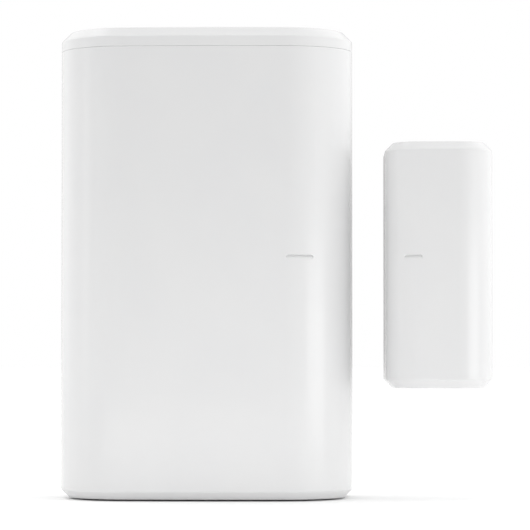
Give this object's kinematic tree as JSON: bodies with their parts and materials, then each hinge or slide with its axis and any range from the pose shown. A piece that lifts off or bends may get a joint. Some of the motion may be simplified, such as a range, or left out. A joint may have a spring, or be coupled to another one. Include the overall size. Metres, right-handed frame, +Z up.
{
  "type": "door contact sensor",
  "caption": "Two-piece door contact sensor: a tall main unit with a sliding cover, cells and a reed switch, and a smaller magnet unit beside it.",
  "frame": {"origin": "centre of the main unit's adhesive face, on the wall plane", "axes": "+Z up, +X from the main unit towards the magnet unit, +Y into the wall"},
  "size_m": [0.0649, 0.021, 0.07],
  "materials": {
    "housing_white": "white moulded ABS, light satin gloss",
    "base_white": "white moulded ABS, fine matt texture",
    "foam_tape": "white closed-cell foam adhesive",
    "board_green": "green solder mask",
    "radio_board": "dark blue-green solder mask",
    "tray_black": "black moulded nylon",
    "contact_nickel": "nickel plated sheet",
    "spring_steel": "nickel plated wire",
    "cell_can": "nickel plated steel",
    "cell_jacket": "plain slate-blue plastic sleeve with a pale ring at the positive end",
    "shield_tin": "tin plated sheet",
    "antenna_gold": "gold plated copper",
    "chip_black": "black moulded package",
    "passive_ceramic": "small chip parts with tinned ends",
    "capacitor_sleeve": "bare aluminium can",
    "led_lens": "milky lens on a white body",
    "reed_glass": "clear green-tinted glass",
    "reed_lead": "tin plated nickel-iron",
    "switch_black": "black moulded switch housing",
    "button_brown": "brown moulded plunger",
    "plunger_grey": "grey acetal",
    "screw_steel": "zinc plated steel",
    "magnet_nickel": "nickel plated magnet",
    "cradle_white": "natural white nylon"
  },
  "bodies": {
    "base_unit": {"top_cap": "housing_white", "rear_base": "base_white", "mounting_tape": "foam_tape", "circuit_board": "board_green", "radio_board": "radio_board", "battery_holder": "tray_black", "positive_contact": "contact_nickel", "negative_contact": "contact_nickel", "link_contact": "contact_nickel", "negative_spring": "spring_steel", "link_spring": "spring_steel", "tamper_spring": "spring_steel", "cell_left_can": "cell_can", "cell_right_can": "cell_can", "cell_left_jacket": "cell_jacket", "cell_right_jacket": "cell_jacket", "shield_can": "shield_tin", "crystal_can": "shield_tin", "antenna": "antenna_gold", "controller_chip": "chip_black", "passives": "passive_ceramic", "reservoir_capacitor": "capacitor_sleeve", "status_led": "led_lens", "reed_glass": "reed_glass", "reed_fixed_lead": "reed_lead", "reed_top_lead": "reed_lead", "reset_switch_body": "switch_black", "tamper_switch_body": "switch_black", "board_screws": "screw_steel"},
    "cover": {"front_cover": "housing_white"},
    "magnet_unit": {"magnet_cover": "housing_white", "magnet_base": "base_white", "magnet_cradle": "cradle_white", "bar_magnet": "magnet_nickel", "magnet_tape": "foam_tape"},
    "reset_plunger": {"reset_button": "button_brown"},
    "tamper_pin": {"tamper_plunger": "plunger_grey"},
    "reed_blade": {"reed_moving_blade": "reed_lead"}
  },
  "joints": [
    {"name": "cover_slide", "type": "slide", "parent": "base_unit", "child": "cover", "axis": [0, 0, -1], "range_m": [0, 0.066]},
    {"name": "magnet_slide", "type": "slide", "parent": "base_unit", "child": "magnet_unit", "axis": [1, 0, 0], "range_m": [0, 0.06]},
    {"name": "reset_button_press", "type": "slide", "parent": "base_unit", "child": "reset_plunger", "axis": [0, 1, 0], "range_m": [0, 0.00025], "stiffness_N_per_m": 4000, "springref_m": -0.00005},
    {"name": "tamper_press", "type": "slide", "parent": "base_unit", "child": "tamper_pin", "axis": [0, -1, 0], "range_m": [0, 0.0012], "stiffness_N_per_m": 400, "springref_m": -0.001, "deforming": ["tamper_spring"]},
    {"name": "reed_flex", "type": "hinge", "parent": "base_unit", "child": "reed_blade", "pos_m": [0.01489, -0.008, 0.00535], "axis": [0, 1, 0], "range_deg": [0, 1]}
  ],
  "couplings": [
    {"joint": "reed_flex", "follows": "magnet_slide", "rad_per_m": 0.29}
  ]
}
